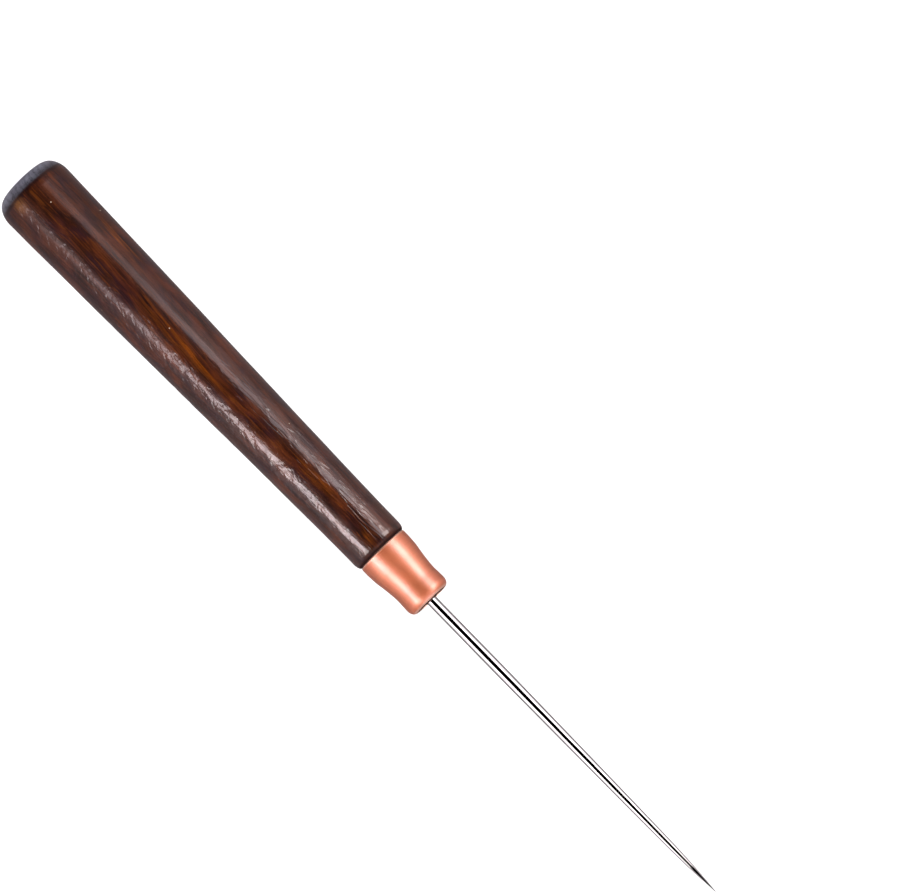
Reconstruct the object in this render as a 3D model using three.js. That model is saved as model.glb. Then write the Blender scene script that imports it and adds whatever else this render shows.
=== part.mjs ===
// Bookbinding awl: a turned hardwood handle, a waisted copper ferrule on the handle's tenon, and
// a polished steel needle whose tang is bonded into a blind bore in the tenon.
//
// Millimetres, +Z up. The tool lies along +X: the flat end of the butt is centred on the origin
// and the needle's point is at x = TOOL_LENGTH.
import * as THREE from 'three';

// Driving dimensions, in mm.
const TOOL_LENGTH = 175.0;
const BUTT_DIAMETER = 14.25; // the widest place of the handle
const BUTT_FLAT_DIAMETER = 9.2;
const BUTT_ROUNDING = 3.8; // how far along the tool the butt's rounded edge reaches
const SHOULDER_DIAMETER = 10.94; // the handle just behind its rounded shoulder
const SHOULDER_ROUNDING = 1.5; // how far along the tool the shoulder's rounding reaches
const SHOULDER_DROP = 0.6; // how far it comes in towards the axis
const HANDLE_LENGTH = 91.25; // from the butt to the shoulder that the ferrule meets
const FERRULE_LENGTH = 12.4;
const FERRULE_BACK_DIAMETER = 10.1;
const FERRULE_WAIST_DIAMETER = 8.72;
const FERRULE_NOSE_DIAMETER = 8.86;
const FERRULE_MOUTH_DIAMETER = 7.0;
const FERRULE_WALL = 0.7;
const FERRULE_EDGE = 0.25; // radius of the ferrule's back edge
const NOSE_ROUNDING = 1.5; // how far along the tool the ferrule's rounded front edge reaches
const NOSE_INTURN = 1.05; // how far in towards the axis the same rounding would reach in full
const NEEDLE_DIAMETER = 2.0;
const NEEDLE_STRAIGHT = 17.5; // plain wire in front of the ferrule, before the taper
const TANG_DEPTH = 31.0; // how far the needle's wire runs behind the tenon's end
const TANG_CHAMFER = 0.15;
const BORE_DIAMETER = 2.9;
const BORE_SPARE = 1.0; // empty bore behind the tang's end
const TENON_SETBACK = 2.2; // from the ferrule's front to the tenon's end
const TENON_CHAMFER = 0.3;
const LIP_DEPTH = 1.0; // how thick the ferrule's turned-in front edge is, along the tool
const MOUTH_RECESS = 0.15; // how deep the adhesive's face lies in the ferrule's mouth

// Clearances, in mm.
const FIT_GAP = 0.08; // between the ferrule and the wood that it is pressed on
const BOND_GAP = 0.05; // on either side of the cured adhesive

// Places along the tool that follow from them.
const FERRULE_FRONT = HANDLE_LENGTH + FERRULE_LENGTH;
const TENON_END = FERRULE_FRONT - TENON_SETBACK;
const TANG_START = TENON_END - TANG_DEPTH;

// Facets round each turned piece. All start half a facet round, so that a flat facet, and not an
// edge, is at the bottom.
const FACETS = 48;
const WIRE_FACETS = 24;

const COPPER = { color: 0xc98467, roughness: 0.28, metalness: 1 };
const VARNISHED_WOOD = { color: 0x4a2a1c, roughness: 0.3, metalness: 0 };
const POLISHED_STEEL = { color: 0xd8d8da, roughness: 0.08, metalness: 1 };
const CURED_ADHESIVE = { color: 0x1a100c, roughness: 0.4, metalness: 0 };

// A place on an outline: the radius there, and how far along the tool it is.
const at = (radius, x) => new THREE.Vector2(radius, x);

// A turned piece. Its outline starts and ends on the axis, or closes on itself, and is spun about
// the tool's axis.
function turned(name, outline, facets, surface) {
  const geometry = new THREE.LatheGeometry(outline, facets, Math.PI / facets);
  geometry.rotateZ(-Math.PI / 2);
  const mesh = new THREE.Mesh(geometry, new THREE.MeshStandardMaterial(surface));
  mesh.name = name;
  return mesh;
}

// Part of an ellipse about a centre, from angle a to b in radians: 0 points back along the tool,
// a quarter turn points outwards and a half turn points forwards.
function arc(centre, radialReach, axialReach, a, b, steps) {
  const points = [];
  for (let i = 0; i <= steps; i += 1) {
    const angle = a + ((b - a) * i) / steps;
    const radius = centre.x + radialReach * Math.sin(angle);
    points.push(at(radius, centre.y - axialReach * Math.cos(angle)));
  }
  return points;
}

// A smooth line through the given places, without its last point.
function smooth(places, steps) {
  return new THREE.SplineCurve(places).getPoints(steps).slice(0, -1);
}

// The ferrule's outside: a short straight collar at the shoulder, an easy curve down to the waist
// and a slight flare towards the nose.
function ferruleOutside() {
  const back = FERRULE_BACK_DIAMETER / 2;
  const waist = FERRULE_WAIST_DIAMETER / 2;
  const nose = FERRULE_NOSE_DIAMETER / 2;
  const backEdge = at(back - FERRULE_EDGE, HANDLE_LENGTH + FERRULE_EDGE);
  return [
    ...arc(backEdge, FERRULE_EDGE, FERRULE_EDGE, 0, Math.PI / 2, 3),
    ...smooth([
      at(back, HANDLE_LENGTH + 1.5),
      at(back - 0.12, HANDLE_LENGTH + 3.5),
      at(waist + 0.27, HANDLE_LENGTH + 5.5),
      at(waist, HANDLE_LENGTH + 8.2),
      at(nose, HANDLE_LENGTH + 10.3),
    ], 10),
  ];
}

// The stretch of the ferrule's outside from its collar to x = end, moved inwards by depth.
function ferruleInset(depth, end) {
  return ferruleOutside()
    .filter((point) => point.y > HANDLE_LENGTH + 2 * FERRULE_EDGE && point.y < end)
    .map((point) => at(point.x - depth, point.y));
}

// The ferrule: a thin tube whose front edge is rounded over and turned in to a round mouth. The
// rounding stops at the angle called lip, where it comes to the mouth.
function ferrule() {
  const nose = FERRULE_NOSE_DIAMETER / 2;
  const mouth = FERRULE_MOUTH_DIAMETER / 2;
  const noseCore = nose - NOSE_INTURN;
  const lip = Math.PI - Math.asin((mouth - noseCore) / NOSE_INTURN);
  const noseCentre = at(noseCore, FERRULE_FRONT + NOSE_ROUNDING * Math.cos(lip));
  const outline = [
    ...ferruleOutside(),
    ...arc(noseCentre, NOSE_INTURN, NOSE_ROUNDING, Math.PI / 2, lip, 7),
    at(mouth, FERRULE_FRONT - LIP_DEPTH),
    ...ferruleInset(FERRULE_WALL, FERRULE_FRONT - LIP_DEPTH).reverse(),
    at(FERRULE_BACK_DIAMETER / 2 - FERRULE_WALL, HANDLE_LENGTH),
  ];
  outline.push(outline[0].clone());
  return turned('ferrule', outline, FACETS, COPPER);
}

// The handle: a flat butt with a full rounded edge, a long easy taper to a rounded shoulder, then
// a tenon that follows the ferrule's inside, with a blind bore for the tang.
function handle() {
  const butt = BUTT_DIAMETER / 2;
  const flat = BUTT_FLAT_DIAMETER / 2;
  const shoulder = SHOULDER_DIAMETER / 2;
  const bore = BORE_DIAMETER / 2;
  const shoulderFace = HANDLE_LENGTH - FIT_GAP;
  const shoulderCentre = at(shoulder - SHOULDER_DROP, shoulderFace - SHOULDER_ROUNDING);
  const tenon = ferruleInset(FERRULE_WALL + FIT_GAP, TENON_END - TENON_CHAMFER);
  const tenonTip = tenon[tenon.length - 1].x;
  const outline = [
    at(0, 0),
    ...arc(at(flat, BUTT_ROUNDING), butt - flat, BUTT_ROUNDING, 0, Math.PI / 2, 8).slice(0, -1),
    ...smooth([
      at(butt, BUTT_ROUNDING),
      at(6.63, 30),
      at(5.97, 60),
      at(5.59, 78),
      at(shoulder, shoulderCentre.y),
    ], 10),
    ...arc(shoulderCentre, SHOULDER_DROP, SHOULDER_ROUNDING, Math.PI / 2, Math.PI, 6),
    at(tenon[0].x, shoulderFace),
    ...tenon,
    at(tenonTip, TENON_END - TENON_CHAMFER),
    at(tenonTip - TENON_CHAMFER, TENON_END),
    at(bore, TENON_END),
    at(bore, TANG_START - BORE_SPARE),
    at(0, TANG_START - BORE_SPARE),
  ];
  return turned('handle', outline, FACETS, VARNISHED_WOOD);
}

// The needle: plain wire from the tang's end to the start of the taper, then a long easy taper
// that quickens towards the point.
function needle() {
  const radius = NEEDLE_DIAMETER / 2;
  const outline = [
    at(0, TANG_START),
    at(radius - TANG_CHAMFER, TANG_START),
    at(radius, TANG_START + TANG_CHAMFER),
    at(radius, FERRULE_FRONT),
    ...smooth([
      at(radius, FERRULE_FRONT + NEEDLE_STRAIGHT),
      at(0.88 * radius, TOOL_LENGTH - 37),
      at(0.76 * radius, TOOL_LENGTH - 23),
      at(0.63 * radius, TOOL_LENGTH - 12),
      at(0.48 * radius, TOOL_LENGTH - 6.5),
      at(0.26 * radius, TOOL_LENGTH - 2.8),
      at(0.04 * radius, TOOL_LENGTH - 0.1),
    ], 12),
    at(0.04 * radius, TOOL_LENGTH - 0.1),
    at(0, TOOL_LENGTH),
  ];
  return turned('needle', outline, WIRE_FACETS, POLISHED_STEEL);
}

// The cured adhesive: a sleeve round the tang in the bore, and a round plug in front of the tenon
// that fills the ferrule's mouth.
function tangAdhesive() {
  const inner = NEEDLE_DIAMETER / 2 + BOND_GAP;
  const outer = BORE_DIAMETER / 2 - BOND_GAP;
  const plug = FERRULE_MOUTH_DIAMETER / 2 - BOND_GAP;
  const plugBack = TENON_END + BOND_GAP;
  const plugFace = FERRULE_FRONT - MOUTH_RECESS;
  const outline = [
    at(inner, TANG_START + BORE_SPARE),
    at(outer, TANG_START + BORE_SPARE),
    at(outer, plugBack),
    at(plug, plugBack),
    at(plug, plugFace),
    at(inner, plugFace),
    at(inner, TANG_START + BORE_SPARE),
  ];
  return turned('tang_adhesive', outline, FACETS, CURED_ADHESIVE);
}

const awl = new THREE.Group();
awl.add(handle(), ferrule(), needle(), tangAdhesive());

export default awl;
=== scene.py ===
import math

import bpy
from mathutils import Matrix, Vector, noise

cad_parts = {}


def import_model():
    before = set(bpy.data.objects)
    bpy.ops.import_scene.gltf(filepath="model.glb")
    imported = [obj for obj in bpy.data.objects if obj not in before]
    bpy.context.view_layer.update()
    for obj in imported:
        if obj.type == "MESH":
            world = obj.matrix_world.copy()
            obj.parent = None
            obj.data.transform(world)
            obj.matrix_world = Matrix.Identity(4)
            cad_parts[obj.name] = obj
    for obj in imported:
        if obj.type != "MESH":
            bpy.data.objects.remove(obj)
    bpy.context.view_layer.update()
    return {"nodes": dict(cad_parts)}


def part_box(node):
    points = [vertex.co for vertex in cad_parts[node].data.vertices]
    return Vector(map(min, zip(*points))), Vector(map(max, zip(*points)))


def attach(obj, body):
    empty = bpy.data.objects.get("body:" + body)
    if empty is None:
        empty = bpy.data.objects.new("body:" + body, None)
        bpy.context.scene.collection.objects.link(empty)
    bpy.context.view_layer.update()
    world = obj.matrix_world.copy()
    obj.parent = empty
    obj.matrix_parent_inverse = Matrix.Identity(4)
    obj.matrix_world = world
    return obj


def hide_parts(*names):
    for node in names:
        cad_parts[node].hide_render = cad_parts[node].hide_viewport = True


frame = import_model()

MM = 0.001

# ------------------------------------------------------------------ the view
FRAME_WIDTH = 0.1584  # what the picture's width takes in at the tool's axis
LENS = 200.0
SENSOR = 36.0
AIM = Vector((0.08664, 0.0212, 0.0))
TOWARDS_TIP = math.radians(4.4)  # how far the camera leans from straight above to the tip's side
ROLL = math.radians(45.63)  # how far below level the tool runs, from upper left to lower right

# ------------------------------------------------------------------ the studio, in metres
LIGHT_DISTANCE = 0.5  # from the tool's axis to the lights beside it
STRIP_BACK = -0.09
STRIP_FRONT = 0.07
STRIP_FADE = 0.13  # how far from its back end a strip comes to its full brightness
STRIP_SEGMENTS = 8
STRIP_COLOUR = (1.0, 0.87, 0.92)
FRONT_START = 0.06  # where the lights ahead of the strips begin
FRONT_END = 0.22
NOSE_END = 0.5  # where the lights for the ferrule's nose end
FRONT_WIDTH = 0.24
FRONT_COLOUR = (1.0, 0.94, 0.92)
NEEDLE_RADIANCE = 1.5  # the needle mirrors its lights as they are, so they need only be white
BUTT_LIGHT_PLACE = (-0.483, 0, 0.129)
BUTT_LIGHT_COLOUR = (0.9, 0.95, 1.1)
SKY_COLOUR = (1.0, 0.9, 0.94)
BACKDROP_LIGHT = 1.2  # what the camera sees of the studio beyond the floor
FLOOR_COLOUR = (0.3, 0.29, 0.29)
FLOOR_REACH = 3.0
FLOOR_GAP = 0.03 * MM

# ------------------------------------------------------------------ the meshes
HANDLE_SEGMENTS = 184
FERRULE_SEGMENTS = 160
NEEDLE_SEGMENTS = 64
ADHESIVE_SEGMENTS = 96
SHARP_ANGLE = math.radians(40)
ON_AXIS = 1e-6  # a radius below this is a point on the axis
BORE_LIMIT = 2 * MM  # more than the bore's radius and less than any of the handle's outside
SHOULDER_RING = -6  # where the shoulder starts to round, counted from the outside's last ring
DISH_STEPS = 8
DISH_DEPTH = 0.12 * MM  # how far the adhesive's face has sunk in cure
WAVE_HEIGHT = 0.04 * MM
RIPPLE_HEIGHT = 0.035 * MM


# ------------------------------------------------------------------ outlines from the CAD
def cad_radii(node):
    """Every place along the tool where the CAD piece has a ring, with the radii there."""
    rings = {}
    for vertex in frame["nodes"][node].data.vertices:
        place = round(vertex.co.x, 6)
        radius = round(math.hypot(vertex.co.y, vertex.co.z), 6)
        rings.setdefault(place, set()).add(radius)
    return {place: sorted(radii) for place, radii in sorted(rings.items())}


def handle_outside():
    """The (x, radius) places of the handle's outside, from the butt to the shoulder."""
    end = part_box("ferrule")[0].x
    rings = cad_radii("handle").items()
    return [(x, radii[-1]) for x, radii in rings if x < end and radii[-1] > BORE_LIMIT]


def catmull(a, b, c, d, t):
    """A place between b and c on a smooth line through a, b, c and d."""
    linear = c - a
    square = 2 * a - 5 * b + 4 * c - d
    cube = 3 * b - a - 3 * c + d
    return b + 0.5 * t * (linear + t * (square + t * cube))


def flowing(places, step):
    """A smooth line through (x, radius) places, with a point about every step."""
    points = [Vector(place) for place in places]
    points = [2 * points[0] - points[1]] + points + [2 * points[-1] - points[-2]]
    line = []
    for i in range(1, len(points) - 2):
        a, b, c, d = points[i - 1:i + 3]
        # Neighbours are pulled in to a like distance, so that uneven gaps make no overshoot.
        span = (c - b).length
        a = b + (a - b) * min(1.0, span / max((a - b).length, 1e-9))
        d = c + (d - c) * min(1.0, span / max((d - c).length, 1e-9))
        count = max(1, round(span / step))
        line += [tuple(catmull(a, b, c, d, k / count)) for k in range(count)]
    return line + [tuple(points[-2])]


# ------------------------------------------------------------------ turned meshes
def spun_rings(outline, segments, relief):
    """The vertices of an outline spun about the X axis, and each ring's vertex numbers."""
    vertices = []
    rings = []
    for x, radius in outline:
        start = len(vertices)
        if radius < ON_AXIS:
            vertices.append((x, 0.0, 0.0))
            rings.append([start] * segments)
            continue
        for k in range(segments):
            angle = 2 * math.pi * k / segments
            lifted = radius + (relief(x, angle, radius) if relief else 0.0)
            vertices.append((x, lifted * math.cos(angle), lifted * math.sin(angle)))
        rings.append(list(range(start, start + segments)))
    return vertices, rings


def ring_faces(rings, segments, closed):
    """Faces that join each ring to the next, and the last to the first if the outline is closed."""
    pairs = list(zip(rings, rings[1:]))
    if closed:
        pairs.append((rings[-1], rings[0]))
    faces = []
    for near, far in pairs:
        for k in range(segments):
            n = (k + 1) % segments
            corners = [near[k], near[n], far[n], far[k]]
            unique = list(dict.fromkeys(corners))
            if len(unique) > 2:
                faces.append(unique)
    return faces


def spin(name, outline, segments, closed=False, relief=None):
    """A turned mesh from (x, radius) points; relief(x, angle, radius) lifts the surface."""
    vertices, rings = spun_rings(outline, segments, relief)
    mesh = bpy.data.meshes.new(name)
    mesh.from_pydata(vertices, [], ring_faces(rings, segments, closed))
    mesh.validate()
    mesh.polygons.foreach_set("use_smooth", [True] * len(mesh.polygons))
    mesh.set_sharp_from_angle(angle=SHARP_ANGLE)
    piece = bpy.data.objects.new(name, mesh)
    bpy.context.scene.collection.objects.link(piece)
    return piece


def stand_for(piece, node, material):
    piece.data.materials.append(material)
    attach(piece, "root")
    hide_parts(node)


# ------------------------------------------------------------------ node helpers
def new_material(name):
    material = bpy.data.materials.new(name)
    material.use_nodes = True
    tree = material.node_tree
    return material, tree, tree.nodes["Principled BSDF"]


def set_sockets(shader, values):
    """Sets the shader's own sockets, by name."""
    for name, value in values.items():
        shader.inputs[name].default_value = value


def link(tree, source, target):
    tree.links.new(source, target)


def give(tree, socket, value):
    """Links a socket to another, or sets it to a fixed number or colour."""
    if isinstance(value, bpy.types.NodeSocket):
        link(tree, value, socket)
    elif isinstance(value, tuple):
        socket.default_value = (*value, 1.0)
    else:
        socket.default_value = value


def object_place(tree):
    return tree.nodes.new("ShaderNodeTexCoord").outputs["Object"]


def stretched(tree, vector, size, place=(0, 0, 0), turn=(0, 0, 0)):
    """A pattern's own space: its origin, its turn in degrees, and one unit's size, in mm."""
    node = tree.nodes.new("ShaderNodeMapping")
    node.vector_type = "TEXTURE"
    node.inputs["Location"].default_value = [p * MM for p in place]
    node.inputs["Rotation"].default_value = [math.radians(a) for a in turn]
    node.inputs["Scale"].default_value = [s * MM for s in size]
    link(tree, vector, node.inputs["Vector"])
    return node.outputs["Vector"]


def noise_value(tree, vector, detail=3.0):
    node = tree.nodes.new("ShaderNodeTexNoise")
    node.inputs["Scale"].default_value = 1.0
    node.inputs["Detail"].default_value = detail
    link(tree, vector, node.inputs["Vector"])
    return node.outputs["Fac"]


def ramp(tree, value, stops):
    """Greys or colours between stops, each (place, grey or (r, g, b))."""
    node = tree.nodes.new("ShaderNodeValToRGB")
    elements = node.color_ramp.elements
    while len(elements) < len(stops):
        elements.new(0.5)
    for element, (place, colour) in zip(elements, stops):
        element.position = place
        rgb = colour if isinstance(colour, tuple) else (colour,) * 3
        element.color = (*rgb, 1.0)
    link(tree, value, node.inputs["Fac"])
    return node.outputs["Color"]


def pattern(tree, vector, size, stops, place=(0, 0, 0), detail=3.0):
    """Noise of this size in mm, as greys or colours between stops."""
    return ramp(tree, noise_value(tree, stretched(tree, vector, size, place), detail), stops)


def blend(tree, mode, factor, a, b):
    """Two colours mixed; factor, a and b are sockets or fixed values."""
    node = tree.nodes.new("ShaderNodeMix")
    node.data_type = "RGBA"
    node.blend_type = mode
    give(tree, node.inputs[0], factor)
    give(tree, node.inputs[6], a)
    give(tree, node.inputs[7], b)
    return node.outputs[2]


def arithmetic(tree, operation, a, b=0.0):
    node = tree.nodes.new("ShaderNodeMath")
    node.operation = operation
    give(tree, node.inputs[0], a)
    give(tree, node.inputs[1], b)
    return node.outputs[0]


def eased(tree, value, start, end, low, high):
    """Goes smoothly from low to high as value goes from start to end."""
    node = tree.nodes.new("ShaderNodeMapRange")
    node.interpolation_type = "SMOOTHSTEP"
    for name, number in (("From Min", start), ("From Max", end), ("To Min", low), ("To Max", high)):
        node.inputs[name].default_value = number
    link(tree, value, node.inputs["Value"])
    return node.outputs["Result"]


def split(tree, vector):
    node = tree.nodes.new("ShaderNodeSeparateXYZ")
    link(tree, vector, node.inputs["Vector"])
    return node.outputs


def bump(tree, height, distance, under=None):
    """A bumped normal, on top of another if one is given."""
    node = tree.nodes.new("ShaderNodeBump")
    node.inputs["Distance"].default_value = distance
    link(tree, height, node.inputs["Height"])
    if under is not None:
        link(tree, under, node.inputs["Normal"])
    return node.outputs["Normal"]


def spot(tree, vector, place, reach):
    """1 in the middle of an ellipsoid, easing to 0 at its surface; place and reach are in mm."""
    node = tree.nodes.new("ShaderNodeVectorMath")
    node.operation = "LENGTH"
    link(tree, stretched(tree, vector, reach, place), node.inputs[0])
    return eased(tree, node.outputs["Value"], 0.2, 1.0, 1.0, 0.0)


def srgb(r, g, b):
    """A display colour (0 to 255) as linear light."""
    def linear(c):
        c = c / 255
        return c / 12.92 if c <= 0.04045 else ((c + 0.055) / 1.055) ** 2.4
    return (linear(r), linear(g), linear(b))


# ------------------------------------------------------------------ the wood
DARK_HEARTWOOD = srgb(38, 14, 8)
HEARTWOOD = srgb(58, 25, 12)
PALE_HEARTWOOD = srgb(82, 38, 19)
PURPLE_CLOUD = srgb(50, 25, 30)
RED_CLOUD = srgb(104, 50, 24)
AMBER = srgb(138, 70, 13)
FAINT_AMBER = srgb(124, 58, 18)
PALE_PATCH = srgb(134, 86, 38)
DARK_SHADE = (0.35, 0.35, 0.35)
GOLD = srgb(112, 58, 18)
# Greys painted on the butt's end as a reflection of the pale studio, over its grain.
DARK_END_REFLECTION = srgb(80, 77, 84)
PALE_END_REFLECTION = srgb(113, 114, 123)
# A dark line painted as shade where the butt's rounded end meets the wood.
END_SHADE_LINE = srgb(20, 10, 12)
# Dark red painted on the wood at the ferrule, as the shade in the crevice there.
JOINT_SHADE = srgb(30, 6, 4)
DUST = srgb(225, 205, 180)

# Where things lie on the handle: the middle of each spot and its reach each way, in mm. The main
# amber figure and the pale patch follow the grain's drift.
MAIN_AMBER = ((40, 0.5, 7.0), (22, 1.7, 4.0))
OTHER_AMBER = [
    ((75, 0.6, 5.5), (9, 1.2, 2.5)),
    ((88.4, -0.2, 5.4), (1.9, 1.1, 1.5)),
    ((20, 5.0, 4.5), (9, 1.2, 2.0)),
    ((55, -4.0, -4.4), (24, 1.8, 2.0)),
    ((25, 1.5, -6.8), (18, 1.6, 2.0)),
    ((70, 3.6, -4.4), (14, 1.4, 2.0)),
]
PALE_SPOT = ((3.4, -4.3, 5.6), (2.8, 1.9, 3.0))
DARK_SPOT = ((5, 0, 7), (9, 3.0, 4))

# Places along the handle, from the butt.
# Where the painted reflection on the butt's end darkens towards the wood.
END_REFLECTION_FADE = (0.9 * MM, 2.4 * MM)
END_EDGE = (2.2 * MM, 2.6 * MM)
# Where the painted shade line rises and falls.
SHADE_LINE_RISE = (2.1 * MM, 2.6 * MM)
SHADE_LINE_FALL = (2.6 * MM, 3.3 * MM)
GRAIN_DRIFT = (18 * MM, 56 * MM)
CREASE_RISE = (38 * MM, 62 * MM)
FLAKE_FALL = (68 * MM, 80 * MM)
VARNISH_RISE = (8 * MM, 74 * MM)
VARNISH_END = (90.5 * MM, 90.9 * MM)
# Where the painted shade at the ferrule's joint begins and is full.
JOINT_SHADE_RISE = (90.6 * MM, 91.0 * MM)

RING_WIDTH = 0.55 * MM  # from the middle of one growth ring's dark line to the pale wood between two
MIDDLE = (-1 * MM, 1 * MM)  # across the handle, between its two sides


def grain_space(tree):
    """Object coordinates in which the grain, which drifts and wavers along the handle, is straight."""
    place = object_place(tree)
    x, y, z = split(tree, place)
    drift = eased(tree, x, *GRAIN_DRIFT, -1.1 * MM, 1.0 * MM)
    wave = noise_value(tree, stretched(tree, place, (11, 7, 7)), detail=2)
    waver = arithmetic(tree, "MULTIPLY", arithmetic(tree, "SUBTRACT", wave, 0.5), 1.3 * MM)
    moved = tree.nodes.new("ShaderNodeCombineXYZ")
    link(tree, x, moved.inputs["X"])
    link(tree, arithmetic(tree, "ADD", arithmetic(tree, "ADD", y, drift), waver), moved.inputs["Y"])
    link(tree, arithmetic(tree, "ADD", z, waver), moved.inputs["Z"])
    return moved.outputs["Vector"]


def heartwood(tree, grain):
    """Dark red-brown wood with purple-brown clouds and redder ones."""
    stops = [(0.36, DARK_HEARTWOOD), (0.52, HEARTWOOD), (0.7, PALE_HEARTWOOD)]
    colour = pattern(tree, grain, (15, 2.0, 2.0), stops)
    purple = pattern(tree, grain, (5.5, 2.1, 2.1), [(0.44, 0.0), (0.62, 0.8)], (9, 4, 1), detail=2)
    colour = blend(tree, "MIX", purple, colour, PURPLE_CLOUD)
    red = pattern(tree, grain, (7, 2.6, 2.6), [(0.48, 0.0), (0.68, 0.6)], (2, 8, 5), detail=1.5)
    return blend(tree, "MIX", red, colour, RED_CLOUD)


def with_amber(tree, grain, colour):
    """Amber streaks, strong in the amber spots and faint elsewhere."""
    streaks = noise_value(tree, stretched(tree, grain, (17, 0.75, 0.75), (3, 5, 7)))
    zone = spot(tree, grain, *MAIN_AMBER)
    for place, reach in OTHER_AMBER:
        zone = arithmetic(tree, "MAXIMUM", zone, spot(tree, object_place(tree), place, reach))
    amber = arithmetic(tree, "MULTIPLY", ramp(tree, streaks, [(0.42, 0.0), (0.66, 1.0)]), zone)
    colour = blend(tree, "MIX", amber, colour, AMBER)
    return blend(tree, "MIX", ramp(tree, streaks, [(0.55, 0.0), (0.7, 0.25)]), colour, FAINT_AMBER)


def with_lines(tree, grain, colour):
    """Fine dark grain lines, over a pale patch and under a dark one near the butt."""
    lines = noise_value(tree, stretched(tree, grain, (10, 0.28, 0.28)))
    pale = arithmetic(tree, "MULTIPLY", spot(tree, grain, *PALE_SPOT),
                      ramp(tree, lines, [(0.4, 0.2), (0.55, 0.62)]))
    colour = blend(tree, "MIX", pale, colour, PALE_PATCH)
    colour = blend(tree, "MULTIPLY", 1.0, colour, ramp(tree, lines, [(0.35, 0.45), (0.49, 1.0)]))
    dark = arithmetic(tree, "MULTIPLY", spot(tree, object_place(tree), *DARK_SPOT), 0.85)
    return blend(tree, "MULTIPLY", dark, colour, DARK_SHADE)


def with_gold_and_pores(tree, grain, colour):
    """Thin golden streaks, fainter away from the handle's top and bottom, and pores all over."""
    gold = pattern(tree, grain, (9, 0.24, 0.24), [(0.54, 0.0), (0.66, 0.6)], (6, 1, 4), detail=2)
    aside = arithmetic(tree, "ABSOLUTE", split(tree, object_place(tree))[1])
    gold = arithmetic(tree, "MULTIPLY", gold, eased(tree, aside, 1.5 * MM, 3.5 * MM, 1.0, 0.35))
    colour = blend(tree, "MIX", gold, colour, GOLD)
    pores = pattern(tree, grain, (2.2, 0.09, 0.09), [(0.3, 0.42), (0.36, 0.92)], detail=1)
    return blend(tree, "MULTIPLY", 1.0, colour, pores)


def wood_colour(tree):
    grain = grain_space(tree)
    colour = heartwood(tree, grain)
    colour = with_amber(tree, grain, colour)
    colour = with_lines(tree, grain, colour)
    return with_gold_and_pores(tree, grain, colour)


def end_reflection_and_grain(tree, place, uneven):
    """A painted grey reflection of the pale studio over the end grain's growth rings and pores, darker
    towards the wood as the painted reflection fades.
    """
    x, y = split(tree, place)[:2]
    grey = pattern(tree, place, (1.2, 3, 3), [(0.3, DARK_END_REFLECTION), (0.7, PALE_END_REFLECTION)], (4, 1, 7))
    grey = blend(tree, "MULTIPLY", 1.0, grey, eased(tree, x, *END_REFLECTION_FADE, 1.0, 0.45))
    across = arithmetic(tree, "ADD", y, arithmetic(tree, "MULTIPLY", uneven, 1.5 * MM))
    rings = arithmetic(tree, "PINGPONG", across, RING_WIDTH)
    grey = blend(tree, "MULTIPLY", 1.0, grey, eased(tree, rings, 0.0, 0.3 * MM, 0.72, 1.0))
    pores = pattern(tree, place, (1.5, 0.22, 0.22), [(0.33, 0.4), (0.4, 1.0)], detail=1)
    return blend(tree, "MULTIPLY", 1.0, grey, pores)


def with_end_grain_and_reflection(tree, colour):
    """The end of the butt, painted grey as a reflection of the pale studio, with a painted shade line
    where the wood's own colour starts.
    """
    place = object_place(tree)
    uneven = noise_value(tree, stretched(tree, place, (3, 3, 3)), detail=2)
    edge = arithmetic(tree, "ADD", split(tree, place)[0], arithmetic(tree, "MULTIPLY", uneven, 0.3 * MM))
    # A painted shade line where the grey end gives way to the wood.
    line = arithmetic(tree, "MINIMUM", eased(tree, edge, *SHADE_LINE_RISE, 0.0, 1.0),
                      eased(tree, edge, *SHADE_LINE_FALL, 1.0, 0.0))
    # The painted grey reflection covers the butt's end as far as END_EDGE.
    end = eased(tree, edge, *END_EDGE, 1.0, 0.0)
    colour = blend(tree, "MIX", end, colour, end_reflection_and_grain(tree, place, uneven))
    return blend(tree, "MIX", arithmetic(tree, "MULTIPLY", line, 0.75), colour, END_SHADE_LINE)


def dust_specks(tree):
    """1 on the few tiny specks caught in the varnish."""
    node = tree.nodes.new("ShaderNodeTexVoronoi")
    node.inputs["Scale"].default_value = 1.0
    link(tree, stretched(tree, object_place(tree), (4, 4, 4)), node.inputs["Vector"])
    return ramp(tree, node.outputs["Distance"], [(0.02, 1.0), (0.035, 0.0)])


def varnish_relief(tree):
    """Flakes along one side of the handle, creases along the other, and brush ridges all round."""
    place = object_place(tree)
    x, y = split(tree, place)[:2]
    ridges = noise_value(tree, stretched(tree, place, (8, 0.6, 0.6), turn=(0, 0, 5)), detail=2)
    height = bump(tree, ridges, 0.012 * MM)
    stops = [(0.44, 0.0), (0.5, 1.0), (0.56, 0.0)]
    creases = pattern(tree, place, (6, 0.9, 0.9), stops, (5, 2, 3), detail=1)
    creased = arithmetic(tree, "MULTIPLY", eased(tree, y, *MIDDLE, 0.3, 1.0),
                         eased(tree, x, *CREASE_RISE, 0.0, 1.0))
    height = bump(tree, arithmetic(tree, "MULTIPLY", creases, creased), 0.022 * MM, under=height)
    flakes = noise_value(tree, stretched(tree, place, (1.7, 0.9, 1.0), turn=(0, 0, -26)), detail=1.2)
    flakes = ramp(tree, flakes, [(0.4, 0.0), (0.54, 1.0)])
    flaked = arithmetic(tree, "MULTIPLY", eased(tree, y, *MIDDLE, 1.0, 0.05),
                        eased(tree, x, *FLAKE_FALL, 1.0, 0.5))
    return bump(tree, arithmetic(tree, "MULTIPLY", flakes, flaked), 0.033 * MM, under=height)


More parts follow.
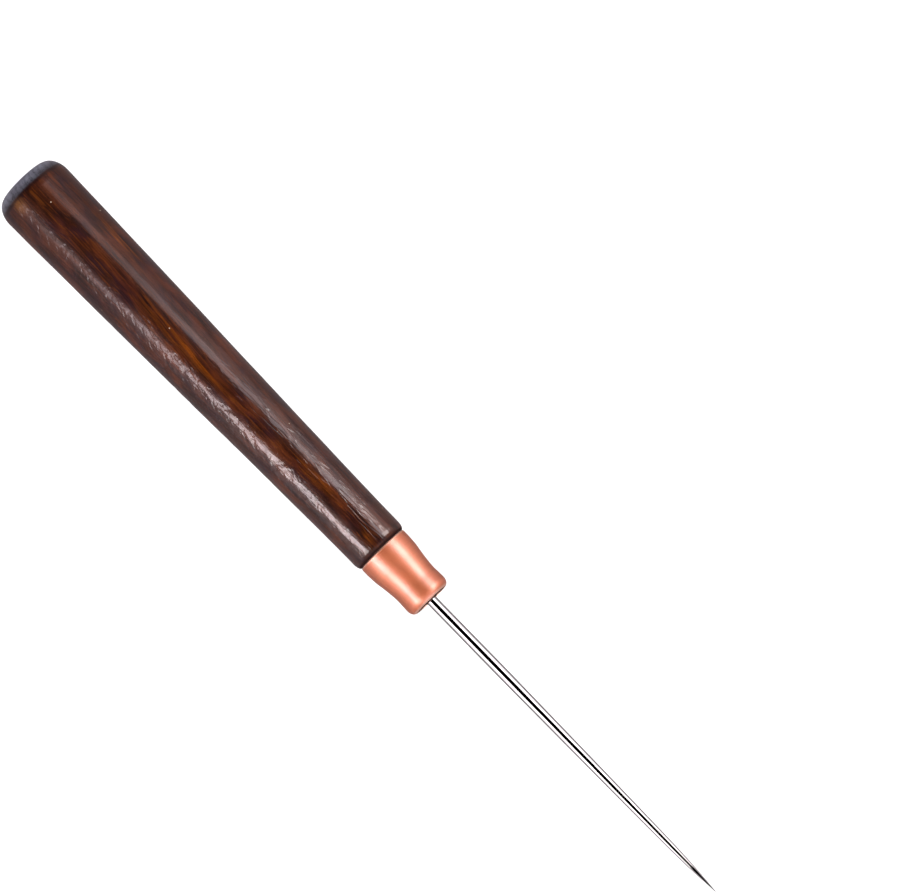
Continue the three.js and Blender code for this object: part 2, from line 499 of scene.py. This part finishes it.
def wood_material():
    """Dark figured hardwood under varnish, glossy in front and worn thin towards the butt."""
    material, tree, shader = new_material("varnished_wood")
    place = object_place(tree)
    x = split(tree, place)[0]
    # Painted shade in the crevice at the ferrule; the same mask also roughens the varnish there.
    joint_shade = eased(tree, x, *JOINT_SHADE_RISE, 0.0, 0.95)
    colour = with_end_grain_and_reflection(tree, wood_colour(tree))
    colour = blend(tree, "MIX", joint_shade, colour, JOINT_SHADE)
    colour = blend(tree, "MIX", dust_specks(tree), colour, DUST)
    link(tree, colour, shader.inputs["Base Color"])
    dull = pattern(tree, place, (9, 2.5, 2.5), [(0.35, 0.28), (0.65, 0.4)], detail=2)
    link(tree, arithmetic(tree, "MAXIMUM", dull, joint_shade), shader.inputs["Roughness"])
    varnish = arithmetic(tree, "MULTIPLY", eased(tree, x, *VARNISH_RISE, 0.35, 0.95),
                         eased(tree, x, *VARNISH_END, 1.0, 0.0))
    link(tree, varnish, shader.inputs["Coat Weight"])
    fine = noise_value(tree, stretched(tree, place, (5, 0.16, 0.16)), detail=2)
    link(tree, bump(tree, fine, 0.01 * MM), shader.inputs["Normal"])
    link(tree, varnish_relief(tree), shader.inputs["Coat Normal"])
    set_sockets(shader, {
        "Specular IOR Level": 0.34,
        "Specular Tint": (1.0, 0.7, 0.64, 1.0),
        "Sheen Weight": 0.09,
        "Sheen Roughness": 0.35,
        "Sheen Tint": (1.0, 0.9, 0.88, 1.0),
        "Coat Roughness": 0.11,
        "Coat IOR": 1.5,
    })
    return material


# ------------------------------------------------------------------ the metals and the adhesive
DARK_COPPER = (0.78, 0.216, 0.08)
PALE_COPPER = (0.82, 0.248, 0.096)
# Pale copper painted on the ferrule's edges as a highlight.
RIM_HIGHLIGHT_COPPER = (1.0, 0.62, 0.45)
DARK_STEEL = (0.88, 0.88, 0.89)
PALE_STEEL = (0.94, 0.94, 0.95)
DARK_ADHESIVE = srgb(10, 5, 4)
PALE_ADHESIVE = srgb(24, 12, 9)


def rim_highlight_edges(tree, x):
    """1 on the ferrule's two edges, where a highlight is painted, easing to 0 between them."""
    back, front = (corner.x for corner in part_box("ferrule"))
    return arithmetic(tree, "MAXIMUM", eased(tree, x, back + 0.15 * MM, back + 0.5 * MM, 1.0, 0.0),
                      eased(tree, x, front - 0.45 * MM, front - 0.12 * MM, 0.0, 1.0))


def copper_material():
    """Satin copper under clear lacquer, with lathe marks round it and a painted highlight on both edges.
    """
    material, tree, shader = new_material("satin_copper")
    place = object_place(tree)
    colour = pattern(tree, place, (2.5, 2.5, 2.5), [(0.3, DARK_COPPER), (0.7, PALE_COPPER)])
    lathe = noise_value(tree, stretched(tree, place, (0.1, 5, 5)), detail=2)
    colour = blend(tree, "MULTIPLY", 1.0, colour, ramp(tree, lathe, [(0.35, 0.93), (0.6, 1.0)]))
    # A painted highlight on both edges of the ferrule, in pale copper.
    rim_highlight = arithmetic(tree, "MULTIPLY", rim_highlight_edges(tree, split(tree, place)[0]), 0.8)
    colour = blend(tree, "MIX", rim_highlight, colour, RIM_HIGHLIGHT_COPPER)
    link(tree, colour, shader.inputs["Base Color"])
    smudges = pattern(tree, place, (4, 2, 2), [(0.35, 0.58), (0.65, 0.66)], (1, 6, 2), detail=2)
    link(tree, smudges, shader.inputs["Roughness"])
    link(tree, bump(tree, lathe, 0.003 * MM), shader.inputs["Normal"])
    set_sockets(shader, {
        "Metallic": 1.0,
        "Sheen Weight": 0.12,
        "Sheen Roughness": 0.4,
        "Sheen Tint": (1.0, 0.8, 0.7, 1.0),
        "Coat Weight": 1.0,
        "Coat Roughness": 0.35,
        "Coat IOR": 2.2,
    })
    return material


def steel_material():
    """Mirror-polished steel with faint polishing lines along it, darker where it turns away."""
    material, tree, shader = new_material("polished_steel")
    place = object_place(tree)
    lines = noise_value(tree, stretched(tree, place, (14, 0.06, 0.06)), detail=2)
    link(tree, ramp(tree, lines, [(0.35, DARK_STEEL), (0.6, PALE_STEEL)]), shader.inputs["Base Color"])
    smears = pattern(tree, place, (6, 1, 1), [(0.4, 0.05), (0.7, 0.09)], detail=2)
    link(tree, smears, shader.inputs["Roughness"])
    link(tree, bump(tree, lines, 0.0004 * MM), shader.inputs["Normal"])
    set_sockets(shader, {"Metallic": 1.0, "Specular Tint": (0.0, 0.0, 0.0, 1.0)})
    return material


def adhesive_material():
    """Cured dark adhesive, dull and slightly uneven."""
    material, tree, shader = new_material("dark_adhesive")
    cloud = noise_value(tree, stretched(tree, object_place(tree), (0.8, 0.8, 0.8)))
    colour = ramp(tree, cloud, [(0.35, DARK_ADHESIVE), (0.7, PALE_ADHESIVE)])
    link(tree, colour, shader.inputs["Base Color"])
    link(tree, ramp(tree, cloud, [(0.3, 0.6), (0.7, 0.85)]), shader.inputs["Roughness"])
    link(tree, bump(tree, cloud, 0.03 * MM), shader.inputs["Normal"])
    set_sockets(shader, {"Specular IOR Level": 0.05})
    return material


# ------------------------------------------------------------------ the pieces
def smooth_step(low, high, value):
    t = min(1.0, max(0.0, (value - low) / (high - low)))
    return t * t * (3 - 2 * t)


def hand_finish(x, angle, radius):
    """The low waves that hand sanding and varnish leave on the handle."""
    fade = smooth_step(1.0 * MM, 5.0 * MM, x) * (1 - smooth_step(87.5 * MM, 90.5 * MM, x))
    y, z = radius * math.cos(angle), radius * math.sin(angle)
    strength = 0.4 + 0.5 * smooth_step(15 * MM, 55 * MM, x)
    strength *= 1 - 0.7 * smooth_step(*FLAKE_FALL, x)
    strength *= 1 - 0.7 * smooth_step(*MIDDLE, y)
    wave = noise.noise(Vector((x / (9 * MM), y / (4 * MM), z / (4 * MM))))
    slant = x + 0.7 * y
    ripple = noise.noise(Vector((slant / (1.8 * MM), y / (1.3 * MM), z / (1.3 * MM))))
    return fade * (WAVE_HEIGHT * wave + RIPPLE_HEIGHT * strength * ripple)


def handle():
    """The wood, with its tenon inside the ferrule and its blind bore."""
    radii = cad_radii("handle")
    outer = handle_outside()
    tenon = [(x, r[-1]) for x, r in radii.items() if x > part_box("ferrule")[0].x]
    tenon_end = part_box("handle")[1].x
    bore = radii[max(radii)][0]
    bore_end = max(x for x, r in radii.items() if r[0] < ON_AXIS)
    outline = [(0.0, 0.0), (0.0, outer[0][1] * 0.5)] + flowing(outer, step=0.25 * MM)
    outline += [(outer[-1][0], tenon[0][1])] + tenon
    outline += [(tenon_end, bore), (bore_end, bore), (bore_end, 0.0)]
    piece = spin("wood_handle", outline, HANDLE_SEGMENTS, relief=hand_finish)
    stand_for(piece, "handle", wood_material())
    return piece


def ferrule():
    """The copper tube, with its turned-in front edge."""
    radii = cad_radii("ferrule")
    mouth = min(r[0] for r in radii.values())
    outer = [(x, r[-1]) for x, r in radii.items() if r[-1] > mouth + 0.01 * MM]
    inner = [(x, r[0]) for x, r in radii.items() if len(r) > 1 or r[0] == mouth]
    outline = flowing(outer, step=0.12 * MM) + inner[::-1]
    piece = spin("copper_ferrule", outline, FERRULE_SEGMENTS, closed=True)
    stand_for(piece, "ferrule", copper_material())
    return piece


def needle():
    """The steel, from its tang's end to its point."""
    rings = [(x, r[-1]) for x, r in cad_radii("needle").items() if r[-1] > 0]
    tang, tip = (corner.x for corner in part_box("needle"))
    outline = [(tang, 0.0)] + flowing(rings, step=0.5 * MM) + [(tip, 0.0)]
    piece = spin("steel_needle", outline, NEEDLE_SEGMENTS)
    stand_for(piece, "needle", steel_material())
    return piece


def adhesive():
    """The sleeve round the tang and the plug in the ferrule's mouth, with a dished face."""
    radii = cad_radii("tang_adhesive")
    places = sorted(radii)
    back, step, face = places[0], places[1], places[-1]
    inner, sleeve, plug = radii[back][0], radii[back][-1], radii[face][-1]
    outline = [(back, inner), (back, sleeve), (step, sleeve), (step, plug)]
    for k in range(DISH_STEPS + 1):
        across = k / DISH_STEPS
        dip = DISH_DEPTH * math.sin(math.pi * across) ** 0.7
        outline.append((face - dip, plug + (inner - plug) * across))
    piece = spin("mouth_adhesive", outline, ADHESIVE_SEGMENTS, closed=True)
    stand_for(piece, "tang_adhesive", adhesive_material())


# ------------------------------------------------------------------ stage
def floor_material():
    """Pale and dull, and white to the camera."""
    material, tree, shader = new_material("pale_floor")
    seen = tree.nodes.new("ShaderNodeLightPath").outputs["Is Camera Ray"]
    link(tree, seen, shader.inputs["Emission Strength"])
    set_sockets(shader, {
        "Base Color": (*FLOOR_COLOUR, 1.0),
        "Roughness": 1.0,
        "Specular IOR Level": 0.0,
        "Emission Color": (1.0, 1.0, 1.0, 1.0),
    })
    return material


def floor():
    """A plain floor, tilted to touch the tapered handle's underside from end to end."""
    outer = handle_outside()
    widest = max(outer, key=lambda place: place[1])
    shoulder = outer[SHOULDER_RING]
    slope = (widest[1] - shoulder[1]) / (shoulder[0] - widest[0])
    mesh = bpy.data.meshes.new("floor")
    corners = [(side_x * FLOOR_REACH, side_y * FLOOR_REACH, 0)
               for side_x, side_y in ((-1, -1), (1, -1), (1, 1), (-1, 1))]
    mesh.from_pydata(corners, [], [(0, 1, 2, 3)])
    mesh.materials.append(floor_material())
    sheet = bpy.data.objects.new("floor", mesh)
    bpy.context.scene.collection.objects.link(sheet)
    sheet.location = (widest[0], 0.0, -widest[1] - FLOOR_GAP)
    sheet.rotation_euler = (0.0, -math.atan(slope), 0.0)
    return sheet


def panel(name, place, aim, size_along, size_across, radiance, colour):
    """A soft rectangular light that faces aim; radiance is its brightness."""
    lamp = bpy.data.lights.new(name, "AREA")
    lamp.shape = "RECTANGLE"
    lamp.size = size_along
    lamp.size_y = size_across
    lamp.energy = radiance * math.pi * size_along * size_across
    lamp.color = colour
    light = bpy.data.objects.new(name, lamp)
    bpy.context.scene.collection.objects.link(light)
    back = (Vector(place) - Vector(aim)).normalized()
    # Its first side lies along the tool, or across it where the light shines along the tool.
    along = Vector((1, 0, 0)) if abs(back.x) < 0.7 else Vector((0, 1, 0))
    across = back.cross(along).normalized()
    along = across.cross(back).normalized()
    turn = Matrix((along, across, back)).transposed().to_4x4()
    light.matrix_world = Matrix.Translation(place) @ turn
    light.visible_camera = False
    return light


def shine_on(light, pieces):
    """Makes a light shine on these pieces alone."""
    group = bpy.data.collections.new(light.name + "_group")
    for piece in pieces:
        group.objects.link(piece)
    light.light_linking.receiver_collection = group


def beside(side, lean):
    """The way to a light on this side (+1 for +Y), at this lean from straight above in degrees."""
    angle = math.radians(lean)
    return Vector((0, side * math.sin(angle), math.cos(angle))) * LIGHT_DISTANCE


def strip(name, side, lean, width, radiance, fade):
    """A long light beside the tool, in segments that dim towards the butt; fade is how steeply."""
    reach = beside(side, lean)
    length = (STRIP_FRONT - STRIP_BACK) / STRIP_SEGMENTS
    for k in range(STRIP_SEGMENTS):
        middle = STRIP_BACK + (k + 0.5) * length
        bright = min(1.0, (middle - STRIP_BACK) / STRIP_FADE) ** fade
        place = Vector((middle, 0, 0)) + reach
        panel(f"{name}_{k}", place, (middle, 0, 0), length, width, radiance * bright, STRIP_COLOUR)


def front_panel(name, side, lean, start, end, radiance, pieces):
    """A light beside the tool ahead of the strips, for these pieces alone."""
    middle = Vector(((start + end) / 2, 0, 0))
    place = beside(side, lean) + middle
    light = panel(name, place, middle, end - start, FRONT_WIDTH, radiance, FRONT_COLOUR)
    shine_on(light, pieces)


def butt_panel():
    """A low cool light behind the butt. Nothing mirrors it, or all the varnish would from ahead."""
    light = panel("butt_panel", BUTT_LIGHT_PLACE, (0, 0, 0), size_along=1.8, size_across=0.46,
                  radiance=2.4, colour=BUTT_LIGHT_COLOUR)
    light.visible_glossy = False


def lights(wood, copper, steel, sheet):
    strip("key", side=-1, lean=52, width=0.14, radiance=10.9, fade=1.6)
    strip("fill", side=1, lean=46, width=0.2, radiance=2.2, fade=0.4)
    bright = [wood, copper, sheet]
    front_panel("key_front", -1, 50, FRONT_START, FRONT_END, radiance=7.2, pieces=bright)
    front_panel("fill_front", 1, 55, FRONT_START, FRONT_END, radiance=8.0, pieces=bright)
    front_panel("key_nose", -1, 50, FRONT_END, NOSE_END, radiance=3.4, pieces=[copper])
    front_panel("fill_nose", 1, 55, FRONT_END, NOSE_END, radiance=3.8, pieces=[copper])
    front_panel("key_needle", -1, 50, FRONT_START, FRONT_END, NEEDLE_RADIANCE, pieces=[steel])
    front_panel("fill_needle", 1, 52, FRONT_START, FRONT_END, NEEDLE_RADIANCE, pieces=[steel])
    butt_panel()


def side_glow(tree, forward, aside):
    """Light from both sides, dim behind; the dark strip overhead widens ahead of the tool."""
    clear = arithmetic(tree, "SUBTRACT", aside, eased(tree, forward, -0.02, 0.08, 0.0, 0.35))
    dark_edge, bright_edge = (math.sin(math.radians(angle)) for angle in (32, 42))
    sides = eased(tree, clear, dark_edge, bright_edge, 0.0, 1.0)
    along = arithmetic(tree, "ADD", eased(tree, forward, -0.2, -0.08, 0.35, 0.75),
                       eased(tree, forward, -0.075, -0.03, 0.0, 0.45))
    return arithmetic(tree, "MULTIPLY", sides, along)


def front_glow(tree, forward):
    """Light from ahead of the tool, brightest low down."""
    return arithmetic(tree, "ADD", eased(tree, forward, 0.25, 0.7, 0.0, 0.7),
                      eased(tree, forward, 0.8, 0.95, 0.0, 1.6))


def world():
    """Studio light from both sides and from ahead of the tool; the camera sees plain white."""
    sky = bpy.data.worlds.new("studio")
    bpy.context.scene.world = sky
    sky.use_nodes = True
    tree = sky.node_tree
    background = tree.nodes["Background"]
    background.inputs["Color"].default_value = (*SKY_COLOUR, 1.0)
    forward, aside = split(tree, tree.nodes.new("ShaderNodeTexCoord").outputs["Generated"])[:2]
    aside = arithmetic(tree, "ABSOLUTE", aside)
    glow = arithmetic(tree, "MAXIMUM", side_glow(tree, forward, aside), front_glow(tree, forward))
    strength = tree.nodes.new("ShaderNodeMix")
    link(tree, tree.nodes.new("ShaderNodeLightPath").outputs["Is Camera Ray"], strength.inputs[0])
    link(tree, glow, strength.inputs[2])
    strength.inputs[3].default_value = BACKDROP_LIGHT
    link(tree, strength.outputs[0], background.inputs["Strength"])


def camera():
    lens = bpy.data.cameras.new("camera")
    lens.lens = LENS
    lens.sensor_width = SENSOR
    eye = bpy.data.objects.new("camera", lens)
    bpy.context.scene.collection.objects.link(eye)
    back = Vector((math.sin(TOWARDS_TIP), 0, math.cos(TOWARDS_TIP)))
    along = Vector((math.cos(TOWARDS_TIP), 0, -math.sin(TOWARDS_TIP)))
    across = back.cross(along)
    right = math.cos(ROLL) * along + math.sin(ROLL) * across
    up = math.cos(ROLL) * across - math.sin(ROLL) * along
    distance = FRAME_WIDTH * LENS / SENSOR
    turn = Matrix((right, up, back)).transposed().to_4x4()
    eye.matrix_world = Matrix.Translation(AIM + back * distance) @ turn
    bpy.context.scene.camera = eye


def main():
    wood = handle()
    copper = ferrule()
    steel = needle()
    adhesive()
    sheet = floor()
    lights(wood, copper, steel, sheet)
    world()
    camera()
    view = bpy.context.scene.view_settings
    view.view_transform = "Standard"
    view.look = "None"


main()
